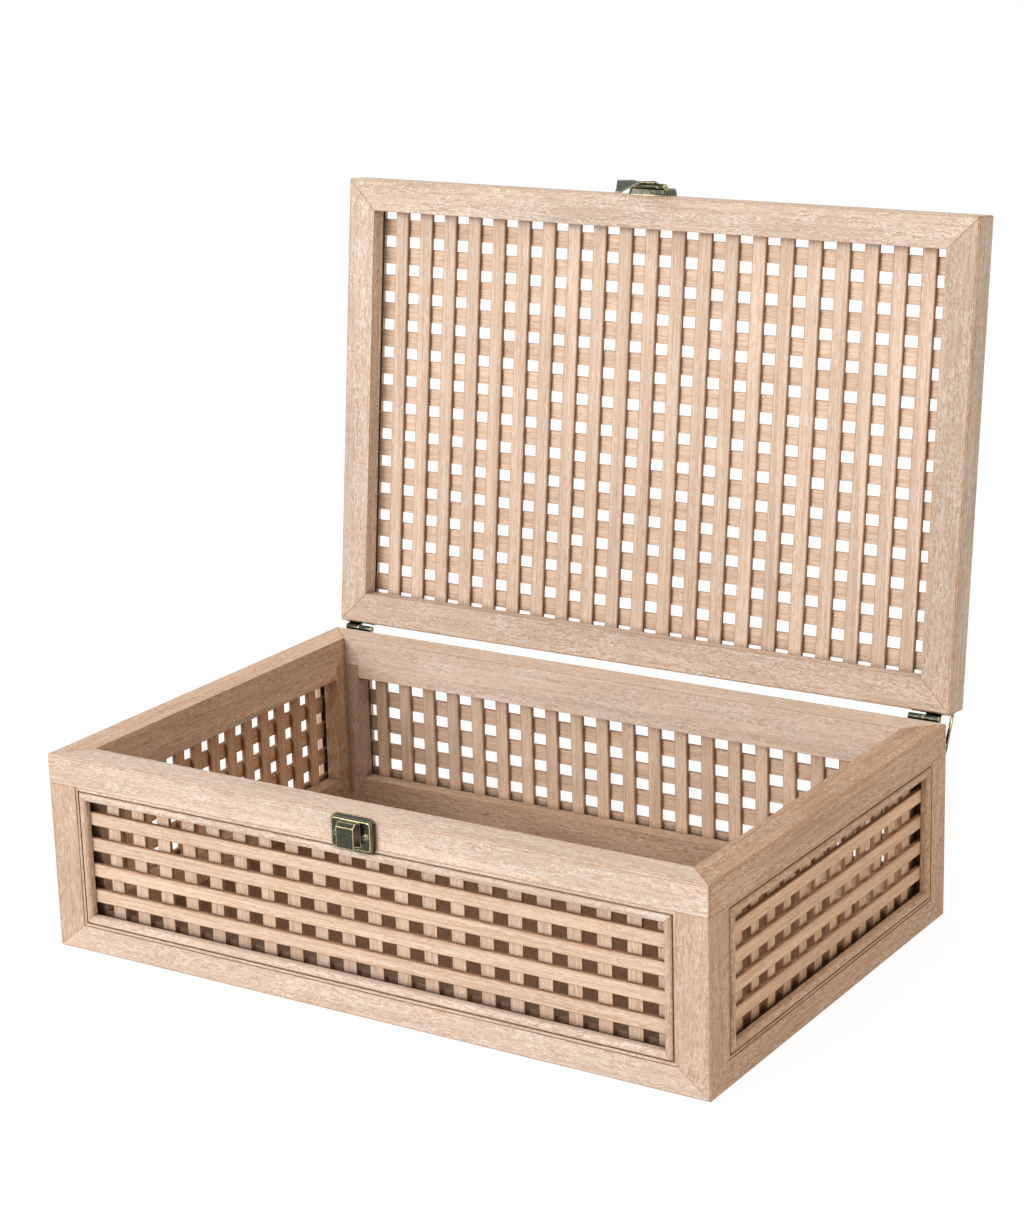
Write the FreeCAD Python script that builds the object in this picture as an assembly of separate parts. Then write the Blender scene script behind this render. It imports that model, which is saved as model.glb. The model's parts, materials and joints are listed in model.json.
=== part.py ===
import FreeCAD, Part
import math
import os

# A rectangular wooden box for papers with open lattice walls and a hinged lattice lid, drawn with its lid open.
# Millimetres. The origin is the centre of the underside, the front faces -Y and +Z is up.

# Overall sizes
box_width = 380.0
box_depth = 252.0
base_height = 104.0
lid_thickness = 17.0
rim_gap = 0.3                  # between the base's rim and the closed lid
lid_open_angle = 96.3          # where the stop arms meet the back of the base
arris_ease = 0.8               # chamfer of the outer edges of base and lid

# Frame members of the walls
wall_thickness = 17.4
stile_face = 17.0              # width of a stile on the outer face
top_rail_face = 15.3
bottom_rail_face = 13.7
lip_thickness = 9.4            # inner lip that backs the lattice
stile_lip = 9.0                # how far the lip stands into the opening beside a stile
rail_lip = 7.2                 # the same above and below

# Frame members of the lid
lid_rail_width = 17.3          # width on the inner face
lid_rebate = 8.6               # how much wider the opening is on the outer face

# Floor board, let into a rebate under the walls
floor_thickness = 4.0
floor_rebate = 6.0
floor_clearance = 0.2

# Bead moulding that holds the lattice
bead_width = 6.6
bead_shadow_gap = 0.15         # between the bead and the frame beside it
bead_flat = 1.5                # flat fillet next to the frame
bead_flat_drop = 0.3           # how far the flat lies below the face
bead_groove_depth = 1.2
bead_groove_width = 0.7
bead_crown_proud = 1.0         # how far the crown stands proud of the face
bead_crown_foot = 0.9          # depth at which the crown's arc starts and ends

# Laths. An offset moves a row off the middle of its opening, a margin is the least room left at its ends
lath_thickness = 2.4
lath_end_gap = 0.2
lath_ease = 0.35               # chamfer along the edges that show
upright_width = 7.6
upright_margin = 9.0
front_upright_pitch = 15.9
front_upright_offset = 5.4     # to the right, seen from the front
front_upright_margin = 4.0
right_upright_pitch = 16.2
back_upright_pitch = 16.25
back_upright_offset = 1.1      # to the right, seen from behind
left_upright_pitch = 14.9
left_upright_offset = 1.25     # towards the front
cross_width = 7.1              # cross laths of the front and right walls
cross_pitch = 13.9
wide_cross_width = 8.7         # cross laths of the back and left walls
wide_cross_pitch = 15.5
left_cross_drop = 1.9          # the left wall's row lies this far below the middle
lid_cross_width = 9.2
lid_cross_pitch = 15.55
lid_cross_offset = 1.8         # towards the hinges
lid_cross_margin = 1.0
lid_long_width = 8.0
lid_long_pitch = 16.0
lid_long_margin = 4.0

# Stop hinges at the back
hinge_offset = 3.0             # pin axis behind the back face
hinge_start = 1.5              # outer end of the lid leaf, from the side face
hinge_length = 21.0            # length of the lid leaf
barrel_length = 17.2           # from the leaf's inner end
hinge_sheet = 0.9
hinge_pin_radius = 0.8
running_clearance = 0.05
knuckle_gap = 0.2
base_leaf_start = 4.6
base_leaf_drop = 14.6          # lower edge of the base leaf, below the pin axis
lid_leaf_rise = 12.6           # far edge of the lid leaf, above the pin axis when closed
leaf_bend_near = 1.2           # height from the axis at which a leaf leaves the barrel
leaf_bend_far = 3.0            # height from the axis at which a leaf reaches the wood
leaf_corner = 1.6
stop_arm_thickness = 1.4
stop_arm_width = 1.5
stop_root_rise = 4.6           # where the arm leaves the lid leaf, above the pin axis when closed
stop_root_out = 0.95           # middle of the arm at its root, from the wood
stop_elbow_back = 8.4          # the arm's elbow, behind the pin axis
stop_elbow_rise = 0.25
stop_heel_back = 1.4           # lower end of the strut, behind the pin axis
stop_heel_drop = 14.6
stop_foot_top = 12.6           # the foot's bearing face, below the pin axis
stop_foot_bottom = 17.2
stop_clearance = 0.25

# Keeper on the front rail
keeper_width = 25.0
keeper_height = 17.3
keeper_depth = 3.5
plate_sheet = 0.8
plate_taper = 1.5              # how much smaller the front of a pressed plate is on each side
plate_corner = 3.0
plate_corner_steps = 3         # flats that make up a round corner
pad_width = 10.0
pad_reach = 8.5                # front of the pad, from the wood
pad_top_inset = 1.8            # top of the pad, below the rim
pad_height = 12.4
pad_bend = 1.6
keeper_window_margin = 0.4
keeper_notch_width = 5.0
keeper_notch_height = 1.6

# Hasp on the lid
hasp_plate_height = 12.6
hasp_plate_depth = 4.1
hasp_pivot_rise = 2.4          # pin axis above the lid's inner face
hasp_pin_radius = 0.8
hasp_tab_width = 3.8
loop_side_gap = 0.2
window_side_gap = 0.6          # beside the pad
loop_window_start = 2.6
loop_reach = 17.5              # from the pin axis to the end bar
loop_bar = 2.4
loop_rise = 2.8                # arch of the loop over the keeper, from the pin axis
loop_rise_start = 4.2
finger_length = 11.4
finger_drop = 5.5
finger_tip_radius = 2.2

# Round-head screws. The thread is left out, and a shank and its hole have flat sides
screw_radius = 1.0
screw_sides = 12
screw_head_radius = 1.9
screw_head_top = 1.2           # radius of the flat top of the head
screw_head_height = 1.0
screw_bite = 6.5               # length in the wood
pilot_clearance = 0.04
keeper_screw_spacing = 16.6
hasp_screw_spacing = 15.0
hinge_screw_inner = 4.2        # from the leaf's inner end
hinge_screw_spacing = 9.6
base_leaf_screw_drop = 9.6     # below the pin axis
lid_leaf_screw_rise = 7.4      # above the pin axis when closed

cut_over = 1.0                 # how far a cutting shape passes the face it opens

# Derived places
half_width = box_width / 2
half_depth = box_depth / 2
bead_seat = wall_thickness - lip_thickness - 2 * lath_thickness
lid_bead_seat = lid_thickness - lip_thickness - 2 * lath_thickness
top_rail_bottom = base_height - top_rail_face
lid_inner_face = base_height + rim_gap
lid_outer_face = lid_inner_face + lid_thickness
lid_frame_outer = lid_rail_width - lid_rebate
hinge_axis_y = half_depth + hinge_offset
hinge_axis_z = base_height + rim_gap / 2
hinge_outer = half_width - hinge_start
hinge_inner = hinge_outer - hinge_length
barrel_outer = hinge_inner + barrel_length
barrel_middle = (hinge_inner + barrel_outer) / 2
barrel_radius = hinge_pin_radius + running_clearance + hinge_sheet
loop_barrel_radius = hasp_pin_radius + running_clearance + plate_sheet
hasp_pivot_y = -half_depth - hasp_plate_depth + plate_sheet - loop_barrel_radius
hasp_pivot_z = lid_inner_face + hasp_pivot_rise
hasp_plate_middle = hasp_pivot_z + hasp_plate_height / 2
hasp_plate_half = keeper_width / 2 - plate_taper
keeper_middle = base_height - keeper_height / 2

V = FreeCAD.Vector
across = V(1, 0, 0)
inward = V(0, 1, 0)
upward = V(0, 0, 1)
here = V(0, 0, 0)


def block(x0, x1, y0, y1, z0, z1):
    return Part.makeBox(x1 - x0, y1 - y0, z1 - z0, V(x0, y0, z0))


def prism(points, direction):
    """A straight solid with a closed outline of points, drawn out along a direction."""
    return Part.Face(Part.makePolygon(points + [points[0]])).extrude(direction)


def band(centre_line, thickness):
    """The outline of a bent strip of even thickness along a line of (a, b) points."""
    sides = {1: [], -1: []}
    for i, (a, b) in enumerate(centre_line):
        before = centre_line[max(i - 1, 0)]
        after = centre_line[min(i + 1, len(centre_line) - 1)]
        turns = []
        for start, end in ((before, (a, b)), ((a, b), after)):
            length = math.hypot(end[0] - start[0], end[1] - start[1])
            if length > 0:
                turns.append((-(end[1] - start[1]) / length, (end[0] - start[0]) / length))
        normal = (sum(t[0] for t in turns), sum(t[1] for t in turns))
        size = math.hypot(normal[0], normal[1])
        normal = (normal[0] / size, normal[1] / size)
        mitre = normal[0] * turns[0][0] + normal[1] * turns[0][1]
        for side in sides:
            offset = side * thickness / 2 / mitre
            sides[side].append((a + normal[0] * offset, b + normal[1] * offset))
    return sides[1] + sides[-1][::-1]


def eased_block(height, z0):
    """The outer envelope of the base or of the lid, with all its edges eased."""
    envelope = block(-half_width, half_width, -half_depth, half_depth, z0, z0 + height)
    return envelope.makeChamfer(arris_ease, envelope.Edges)


# A wall is drawn in its own frame: X along the wall, Y inward from the outer face, Z up
walls = {
    "front": (box_width, 0, V(-half_width, -half_depth, 0)),
    "right": (box_depth, 90, V(half_width, -half_depth, 0)),
    "back": (box_width, 180, V(half_width, half_depth, 0)),
    "left": (box_depth, -90, V(-half_width, half_depth, 0)),
}


def stand_wall(shape, wall):
    _, turn, corner = walls[wall]
    placed = shape.copy()
    placed.rotate(here, upward, turn)
    placed.translate(corner)
    return placed


def mitred_plan(length):
    """The part of the plan that belongs to one wall, between its two corner mitres."""
    reach = wall_thickness
    points = [V(0, 0, 0), V(length, 0, 0), V(length - reach, reach, 0), V(reach, reach, 0)]
    return prism(points, upward * base_height)


def top_rail(length):
    rail = block(0, length, 0, wall_thickness, top_rail_bottom, base_height).common(mitred_plan(length))
    lip_end = stile_face + stile_lip
    lip = block(lip_end, length - lip_end, wall_thickness - lip_thickness, wall_thickness,
                top_rail_bottom - rail_lip, top_rail_bottom)
    return rail.fuse(lip).removeSplitter()


def bottom_rail(length):
    """Mitred with the stiles on the outer face, and butted between their lips on the inner one."""
    lap = wall_thickness - lip_thickness
    face = [V(0, 0, 0), V(length, 0, 0), V(length - stile_face, 0, bottom_rail_face),
            V(stile_face, 0, bottom_rail_face)]
    outer = prism(face, inward * lap).common(mitred_plan(length))
    lip_end = stile_face + stile_lip
    inner = block(lip_end, length - lip_end, lap, wall_thickness, 0, bottom_rail_face + rail_lip)
    return outer.fuse(inner).removeSplitter()


def stile(length):
    """The stile at the wall's left end: mitred below, and butted under the top rail."""
    lap = wall_thickness - lip_thickness
    face = [V(0, 0, 0), V(stile_face, 0, bottom_rail_face), V(stile_face, 0, top_rail_bottom),
            V(0, 0, top_rail_bottom)]
    outer = prism(face, inward * lap)
    inner = block(0, stile_face + stile_lip, lap, wall_thickness, 0, top_rail_bottom)
    return outer.fuse(inner).common(mitred_plan(length)).removeSplitter()


def mirrored_along(shape, length):
    return shape.mirror(V(length / 2, 0, 0), across)


def bead_outline(seat):
    """The moulding's section as (distance from the frame, depth below the face) places."""
    flat_end = bead_shadow_gap + bead_flat
    crown_start = flat_end + bead_groove_width
    crown_end = bead_width - bead_shadow_gap
    corners = [
        (bead_shadow_gap, seat),
        (bead_shadow_gap, bead_flat_drop),
        (flat_end, bead_flat_drop),
        (flat_end, bead_groove_depth),
        (crown_start, bead_groove_depth),
        (crown_start, bead_crown_foot),
    ]
    top = ((crown_start + crown_end) / 2, -bead_crown_proud)
    return corners, top, [(crown_end, bead_crown_foot), (crown_end, seat)]


def bead_strip(length, seat):
    """One strip along X from 0 to its length, on the frame edge z = 0, mitred at both ends."""
    corners, top, tail = bead_outline(seat)
    points = [V(0, depth, off) for off, depth in corners]
    last = [V(0, depth, off) for off, depth in tail]
    crown = Part.Arc(points[-1], V(0, top[1], top[0]), last[0]).toShape()
    outline = Part.Wire([*Part.makePolygon(points).Edges, crown, *Part.makePolygon(last + [points[0]]).Edges])
    strip = Part.Face(outline).extrude(across * length)
    low = -bead_crown_proud - cut_over
    ends = [V(0, low, 0), V(length, low, 0), V(length - bead_width, low, bead_width),
            V(bead_width, low, bead_width)]
    return strip.common(prism(ends, inward * (seat - low)))


def bead_frame(x0, x1, z0, z1, seat):
    """Four mitred strips around an opening of the panel: the two level ones, then the two upright ones."""
    strips = {"level": [], "upright": []}
    middle = V((x0 + x1) / 2, 0, (z0 + z1) / 2)
    width, height = x1 - x0, z1 - z0
    for run, length, rise, turns in (("level", width, height, (0, 180)), ("upright", height, width, (90, 270))):
        for turn in turns:
            strip = bead_strip(length, seat)
            strip.translate(V(-length / 2, 0, -rise / 2))
            strip.rotate(here, inward, turn)
            strip.translate(middle)
            strips[run].append(strip)
    return {run: Part.makeCompound(pair) for run, pair in strips.items()}


def row(start, end, width, pitch, offset, margin):
    """The middles of as many laths as an opening has room for."""
    room = end - start - 2 * (margin + abs(offset)) - width
    count = int(room // pitch) + 1
    first = (start + end) / 2 + offset - pitch * (count - 1) / 2
    return [first + i * pitch for i in range(count)]


def lath(start, end, middle, width, depth, upright, eased_outside):
    """One lath of a panel, along X or along Z, with the two edges that show eased."""
    near, far = depth, depth + lath_thickness
    if not eased_outside:
        near, far = far, near
    step = math.copysign(lath_ease, far - near)
    half = width / 2
    section = [(-half, far), (-half, near + step), (-half + lath_ease, near),
               (half - lath_ease, near), (half, near + step), (half, far)]
    if upright:
        return prism([V(middle + a, b, start) for a, b in section], upward * (end - start))
    return prism([V(start, b, middle + a) for a, b in section], across * (end - start))


def cross_laths(start, end, middles, width, depth):
    ends = (start + lath_end_gap, end - lath_end_gap)
    return Part.makeCompound([lath(*ends, middle, width, depth, False, True) for middle in middles])


def upright_laths(start, end, middles, width, depth):
    ends = (start + lath_end_gap, end - lath_end_gap)
    return Part.makeCompound([lath(*ends, middle, width, depth, True, False) for middle in middles])


# The lid is drawn like a wall, X to the right, Y inward from its outer face and Z towards the back
def close_lid(shape):
    placed = shape.copy()
    placed.rotate(here, across, -90)
    placed.translate(V(-half_width, -half_depth, lid_outer_face))
    return placed


def open_lid(shape):
    placed = shape.copy()
    placed.rotate(V(0, hinge_axis_y, hinge_axis_z), across, -lid_open_angle)
    return placed


def opened_place(y, z):
    """Where a place on the closed lid lies when the lid is open, as (y, z)."""
    axis = V(0, hinge_axis_y, hinge_axis_z)
    place = FreeCAD.Rotation(across, -lid_open_angle).multVec(V(0, y, z) - axis) + axis
    return place.y, place.z


def lid_rail(length):
    """A rail along X at z = 0, rebated on its outer side and mitred at both ends."""
    lap = lid_thickness - lip_thickness
    outer = block(0, length, 0, lap, 0, lid_frame_outer)
    inner = block(0, length, lap, lid_thickness, 0, lid_rail_width)
    reach = lid_rail_width
    ends = [V(0, 0, 0), V(length, 0, 0), V(length - reach, 0, reach), V(reach, 0, reach)]
    return outer.fuse(inner).removeSplitter().common(prism(ends, inward * lid_thickness))


def lid_rail_at(side):
    turn, length, rise = {
        "front": (0, box_width, box_depth),
        "left": (90, box_depth, box_width),
        "back": (180, box_width, box_depth),
        "right": (-90, box_depth, box_width),
    }[side]
    rail = lid_rail(length)
    rail.translate(V(-length / 2, 0, -rise / 2))
    rail.rotate(here, inward, turn)
    rail.translate(V(half_width, 0, half_depth))
    return rail


# Metal fittings
def shank(seat, direction, length, radius):
    """A bar with flat sides, along Y from the seat."""
    turns = [2 * math.pi * i / screw_sides for i in range(screw_sides)]
    points = [seat + V(radius * math.cos(turn), 0, radius * math.sin(turn)) for turn in turns]
    return prism(points, direction * length)


def screw(seat, direction, length):
    """A round-head screw whose head lies on the seat and whose shank runs along the direction."""
    head = Part.makeCone(screw_head_radius, screw_head_top, screw_head_height, seat, direction * -1)
    return head.fuse(shank(seat, direction, length, screw_radius)).removeSplitter()


def hole(seat, direction, length):
    return shank(seat, direction, length + pilot_clearance, screw_radius + pilot_clearance)


def all_screws(places):
    return Part.makeCompound([screw(*place) for place in places])


def drilled(shape, places):
    for place in places:
        shape = shape.cut(hole(*place))
    return shape


def screw_row(spacing, y, z, direction, length):
    return [(V(side * spacing / 2, y, z), direction, length) for side in (-1, 1)]


def hinge_screw_places(side, z):
    return [
        (V(side * (hinge_inner + hinge_screw_inner + i * hinge_screw_spacing), half_depth + hinge_sheet, z),
         inward * -1, hinge_sheet + screw_bite)
        for i in range(2)
    ]


keeper_screw_places = screw_row(keeper_screw_spacing, -half_depth - keeper_depth, keeper_middle, inward,
                                keeper_depth + screw_bite)
hasp_screw_places = screw_row(hasp_screw_spacing, -half_depth - hasp_plate_depth, hasp_plate_middle, inward,
                              hasp_plate_depth + screw_bite)
base_hinge_screws = {side: hinge_screw_places(side, hinge_axis_z - base_leaf_screw_drop) for side in (-1, 1)}
lid_hinge_screws = {side: hinge_screw_places(side, hinge_axis_z + lid_leaf_screw_rise) for side in (-1, 1)}


def inset_panel(width, height, inset, y, middle_z):
    """The outline of a plate with round corners, drawn in by an inset, in the plane of the front face."""
    corner = plate_corner - inset
    half = width / 2 - inset - corner
    rise = height / 2 - inset - corner
    points = []
    for quarter, (sx, sz) in enumerate(((1, 1), (-1, 1), (-1, -1), (1, -1))):
        for i in range(plate_corner_steps + 1):
            angle = (quarter + i / plate_corner_steps) * math.pi / 2
            centre = V(sx * half, y, middle_z + sz * rise)
            points.append(centre + V(corner * math.cos(angle), 0, corner * math.sin(angle)))
    return Part.makePolygon(points + [points[0]])


def pressed_plate(width, height, depth, middle_z):
    """A dished plate pressed from sheet, hollow behind, standing on the plane y = 0 and bulging to -Y."""
    shoulder = plate_taper - plate_sheet
    outer = Part.makeLoft([
        inset_panel(width, height, 0, 0, middle_z),
        inset_panel(width, height, shoulder, -depth + plate_sheet, middle_z),
        inset_panel(width, height, plate_taper, -depth, middle_z),
    ], True, True)
    inner = Part.makeLoft([
        inset_panel(width, height, plate_sheet, 0, middle_z),
        inset_panel(width, height, shoulder + plate_sheet, -depth + plate_sheet, middle_z),
    ], True, True)
    return outer.cut(inner)


def keeper_plate():
    plate = pressed_plate(keeper_width, keeper_height, keeper_depth, keeper_middle)
    pad_top = base_height - pad_top_inset
    pad_bottom = pad_top - pad_height
    half = pad_width / 2
    front = -keeper_depth - cut_over
    window = block(-half - keeper_window_margin, half + keeper_window_margin, front,
                   -keeper_depth + plate_sheet, pad_bottom, pad_top - plate_sheet)
    notch_half = keeper_notch_width / 2
    notch = prism([V(-notch_half, front, pad_bottom), V(notch_half, front, pad_bottom),
                   V(0, front, pad_bottom - keeper_notch_height)], inward * (cut_over + plate_sheet))
    web_z = pad_top - plate_sheet / 2
    pad_y = -pad_reach + plate_sheet / 2
    pad_line = [(-keeper_depth + plate_sheet / 2, web_z), (pad_y + pad_bend, web_z),
                (pad_y, web_z - pad_bend), (pad_y, pad_bottom)]
    pad = prism([V(-half, y, z) for y, z in band(pad_line, plate_sheet)], across * pad_width)
    plate = plate.cut(window).cut(notch).fuse(pad).removeSplitter()
    plate.translate(V(0, -half_depth, 0))
    return drilled(plate, keeper_screw_places)


def hasp_plate():
    """The screwed plate, with a rolled tab at each end of its lower edge."""
    plate = pressed_plate(keeper_width, hasp_plate_height, hasp_plate_depth, hasp_plate_middle)
    plate.translate(V(0, -half_depth, 0))
    tab_back = -half_depth - hasp_plate_depth + plate_sheet
    tab_top = hasp_pivot_z + plate_taper + plate_corner
    for side in (-1, 1):
        ends = sorted((side * hasp_plate_half, side * (hasp_plate_half - hasp_tab_width)))
        tab = block(*ends, tab_back - plate_sheet, tab_back, hasp_pivot_z, tab_top)
        place = V(ends[0], hasp_pivot_y, hasp_pivot_z)
        plate = plate.fuse(tab).fuse(Part.makeCylinder(loop_barrel_radius, hasp_tab_width, place, across))
    return drilled(plate.cut(hasp_pin()).removeSplitter(), hasp_screw_places)


def hasp_pin():
    start = V(-hasp_plate_half, hasp_pivot_y, hasp_pivot_z)
    return Part.makeCylinder(hasp_pin_radius, 2 * hasp_plate_half, start, across)


def hasp_loop():
    """The pressed loop, pointing down from its pin, with its arch outward and a tapered finger tip."""
    half = hasp_plate_half - hasp_tab_width - loop_side_gap
    middle = plate_sheet / 2
    bar_end = loop_reach + loop_bar
    tip = bar_end + finger_length
    line = [(0, loop_barrel_radius - middle), (loop_rise_start, loop_rise), (bar_end, loop_rise),
            (tip, loop_rise - finger_drop)]
    sheet = prism([V(-half, -h, -r) for r, h in band(line, plate_sheet)], across * (2 * half))
    front = -loop_rise - cut_over
    depth = finger_drop - front
    tip_middle = -tip + finger_tip_radius
    tongue = prism([V(-half, front, 0), V(half, front, 0), V(half, front, -bar_end),
                    V(finger_tip_radius, front, tip_middle), V(-finger_tip_radius, front, tip_middle),
                    V(-half, front, -bar_end)], inward * depth)
    tongue = tongue.fuse(Part.makeCylinder(finger_tip_radius, depth, V(0, front, tip_middle), inward))
    window_half = pad_width / 2 + window_side_gap
    window = block(-window_half, window_half, front, finger_drop, -loop_reach, -loop_window_start)
    loop = sheet.common(tongue).cut(window)
    loop = loop.fuse(Part.makeCylinder(loop_barrel_radius, 2 * half, V(-half, 0, 0), across))
    bore = Part.makeCylinder(hasp_pin_radius + running_clearance, 2 * half, V(-half, 0, 0), across)
    loop = loop.cut(bore).removeSplitter()
    loop.translate(V(0, hasp_pivot_y, hasp_pivot_z))
    return loop


# Hinge parts are drawn for the right-hand hinge and mirrored for the left one
def leaf_plate(x0, x1, z_near, z_far):
    """The flat of a hinge leaf on the back face, with its two far corners cut off."""
    step = math.copysign(leaf_corner, z_far - z_near)
    y = half_depth
    outline = [V(x0, y, z_near), V(x1, y, z_near), V(x1, y, z_far - step), V(x1 - leaf_corner, y, z_far),
               V(x0 + leaf_corner, y, z_far), V(x0, y, z_far - step)]
    return prism(outline, inward * hinge_sheet)


def leaf_neck(x0, x1, direction):
    """The bent strip between a leaf's flat and its barrel; direction is +1 for the lid's leaf."""
    flat_y = half_depth + hinge_sheet / 2
    barrel_y = hinge_axis_y - barrel_radius + hinge_sheet / 2
    line = [(flat_y, hinge_axis_z + direction * (leaf_bend_far + hinge_sheet)),
            (flat_y, hinge_axis_z + direction * leaf_bend_far),
            (barrel_y, hinge_axis_z + direction * leaf_bend_near),
            (barrel_y, hinge_axis_z)]
    return prism([V(x0, y, z) for y, z in band(line, hinge_sheet)], across * (x1 - x0))


def stop_arm(x0, x1):
    """The arm that stops the open lid, drawn in the open pose: back from the leaf, then down to a foot."""
    root = opened_place(half_depth + stop_root_out, hinge_axis_z + stop_root_rise)
    elbow = (hinge_axis_y + stop_elbow_back, hinge_axis_z + stop_elbow_rise)
    heel = (hinge_axis_y + stop_heel_back, hinge_axis_z - stop_heel_drop)
    arm = prism([V(x0, y, z) for y, z in band([root, elbow, heel], stop_arm_width)], across * (x1 - x0))
    bearing = half_depth + stop_clearance
    foot_top = hinge_axis_z - stop_foot_top
    foot_bottom = hinge_axis_z - stop_foot_bottom
    foot = [(bearing, foot_top), (bearing, foot_bottom), (heel[0] - stop_arm_width / 2, foot_bottom),
            (heel[0] + stop_arm_width / 2, heel[1]), (heel[0], foot_top)]
    return arm.fuse(prism([V(x0, y, z) for y, z in foot], across * (x1 - x0)))


def barrel_part(x0, x1, radius):
    return Part.makeCylinder(radius, x1 - x0, V(x0, hinge_axis_y, hinge_axis_z), across)


def base_leaf():
    x1 = barrel_middle - knuckle_gap / 2
    flat = leaf_plate(hinge_inner, half_width - base_leaf_start, hinge_axis_z - leaf_bend_far,
                      hinge_axis_z - base_leaf_drop)
    leaf = flat.fuse(leaf_neck(hinge_inner, x1, -1)).fuse(barrel_part(hinge_inner, x1, barrel_radius))
    leaf = leaf.cut(barrel_part(hinge_inner, x1, hinge_pin_radius)).removeSplitter()
    return drilled(leaf, base_hinge_screws[1])


def lid_leaf():
    x0 = barrel_middle + knuckle_gap / 2
    flat = leaf_plate(hinge_inner, hinge_outer, hinge_axis_z + leaf_bend_far, hinge_axis_z + lid_leaf_rise)
    leaf = flat.fuse(leaf_neck(x0, barrel_outer, 1)).fuse(barrel_part(x0, barrel_outer, barrel_radius))
    leaf = leaf.cut(barrel_part(x0, barrel_outer, hinge_pin_radius + running_clearance))
    leaf = open_lid(drilled(leaf, lid_hinge_screws[1]))
    return leaf.fuse(stop_arm(hinge_outer - stop_arm_thickness, hinge_outer)).removeSplitter()


def hinge_pin():
    return barrel_part(hinge_inner - knuckle_gap, barrel_outer + knuckle_gap, hinge_pin_radius)


def mirrored_pair(shape):
    return {"right": shape, "left": shape.mirror(here, across)}


# Build the base
upright_rows = {
    "front": (front_upright_pitch, front_upright_offset, front_upright_margin),
    "right": (right_upright_pitch, 0, upright_margin),
    "back": (back_upright_pitch, back_upright_offset, upright_margin),
    "left": (left_upright_pitch, left_upright_offset, upright_margin),
}
cross_rows = {
    "front": (cross_width, cross_pitch, 0, bead_width),
    "right": (cross_width, cross_pitch, 0, bead_width),
    "back": (wide_cross_width, wide_cross_pitch, 0, lath_end_gap),
    "left": (wide_cross_width, wide_cross_pitch, -left_cross_drop, lath_end_gap),
}
nodes = {}
base_envelope = eased_block(base_height, 0)
floor_reach = wall_thickness - floor_rebate
floor_recess = block(-half_width + floor_reach, half_width - floor_reach, -half_depth + floor_reach,
                     half_depth - floor_reach, 0, floor_thickness)
lower_envelope = base_envelope.cut(floor_recess)
for wall, (length, _, _) in walls.items():
    nodes[f"{wall}_top_rail"] = stand_wall(top_rail(length), wall).common(base_envelope)
    nodes[f"{wall}_bottom_rail"] = stand_wall(bottom_rail(length), wall).common(lower_envelope)
    for side, post in (("a", stile(length)), ("b", mirrored_along(stile(length), length))):
        nodes[f"{wall}_stile_{side}"] = stand_wall(post, wall).common(lower_envelope)
    along = (stile_face, length - stile_face)
    up = (bottom_rail_face, top_rail_bottom)
    for run, strips in bead_frame(*along, *up, bead_seat).items():
        nodes[f"{wall}_bead_{run}"] = stand_wall(strips, wall)
    crossing = cross_laths(*along, row(*up, *cross_rows[wall]), cross_rows[wall][0], bead_seat)
    nodes[f"{wall}_cross_laths"] = stand_wall(crossing, wall)
    standing = upright_laths(*up, row(*along, upright_width, *upright_rows[wall]), upright_width,
                             bead_seat + lath_thickness)
    nodes[f"{wall}_upright_laths"] = stand_wall(standing, wall)
room = floor_recess.BoundBox
nodes["floor_board"] = block(room.XMin + floor_clearance, room.XMax - floor_clearance,
                             room.YMin + floor_clearance, room.YMax - floor_clearance, 0, floor_thickness)
nodes["front_top_rail"] = drilled(nodes["front_top_rail"], keeper_screw_places)
nodes["back_top_rail"] = drilled(nodes["back_top_rail"], base_hinge_screws[-1] + base_hinge_screws[1])

# Build the lid closed and swing it open
lid_envelope = eased_block(lid_thickness, lid_inner_face)
lid_nodes = {f"lid_{side}_rail": close_lid(lid_rail_at(side)).common(lid_envelope)
             for side in ("front", "back", "left", "right")}
lid_across = (lid_frame_outer, box_width - lid_frame_outer)
lid_along = (lid_frame_outer, box_depth - lid_frame_outer)
for run, strips in bead_frame(*lid_across, *lid_along, lid_bead_seat).items():
    lid_nodes[f"lid_bead_{run}"] = close_lid(strips)
lid_cross_middles = row(lid_rail_width, box_depth - lid_rail_width, lid_cross_width, lid_cross_pitch,
                        lid_cross_offset, lid_cross_margin)
lid_long_middles = row(lid_rail_width, box_width - lid_rail_width, lid_long_width, lid_long_pitch, 0,
                       lid_long_margin)
lid_nodes["lid_cross_laths"] = close_lid(
    cross_laths(*lid_across, lid_cross_middles, lid_cross_width, lid_bead_seat))
lid_nodes["lid_long_laths"] = close_lid(
    upright_laths(*lid_along, lid_long_middles, lid_long_width, lid_bead_seat + lath_thickness))
lid_nodes["lid_back_rail"] = drilled(lid_nodes["lid_back_rail"], lid_hinge_screws[-1] + lid_hinge_screws[1])
lid_nodes["lid_front_rail"] = drilled(lid_nodes["lid_front_rail"], hasp_screw_places)
lid_nodes["hinge_lid_screws"] = all_screws(lid_hinge_screws[-1] + lid_hinge_screws[1])
lid_nodes["hasp_plate"] = hasp_plate()
lid_nodes["hasp_screws"] = all_screws(hasp_screw_places)
lid_nodes["hasp_pin"] = hasp_pin()
lid_nodes["hasp_loop"] = hasp_loop()
for name, shape in lid_nodes.items():
    nodes[name] = open_lid(shape)

# Hinges and keeper
for name, shape in (("base_leaf", base_leaf()), ("lid_leaf", lid_leaf()), ("pin", hinge_pin())):
    for side, part in mirrored_pair(shape).items():
        nodes[f"hinge_{name}_{side}"] = part
nodes["hinge_base_screws"] = all_screws(base_hinge_screws[-1] + base_hinge_screws[1])
nodes["keeper_plate"] = keeper_plate()
nodes["keeper_screws"] = all_screws(keeper_screw_places)

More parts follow.
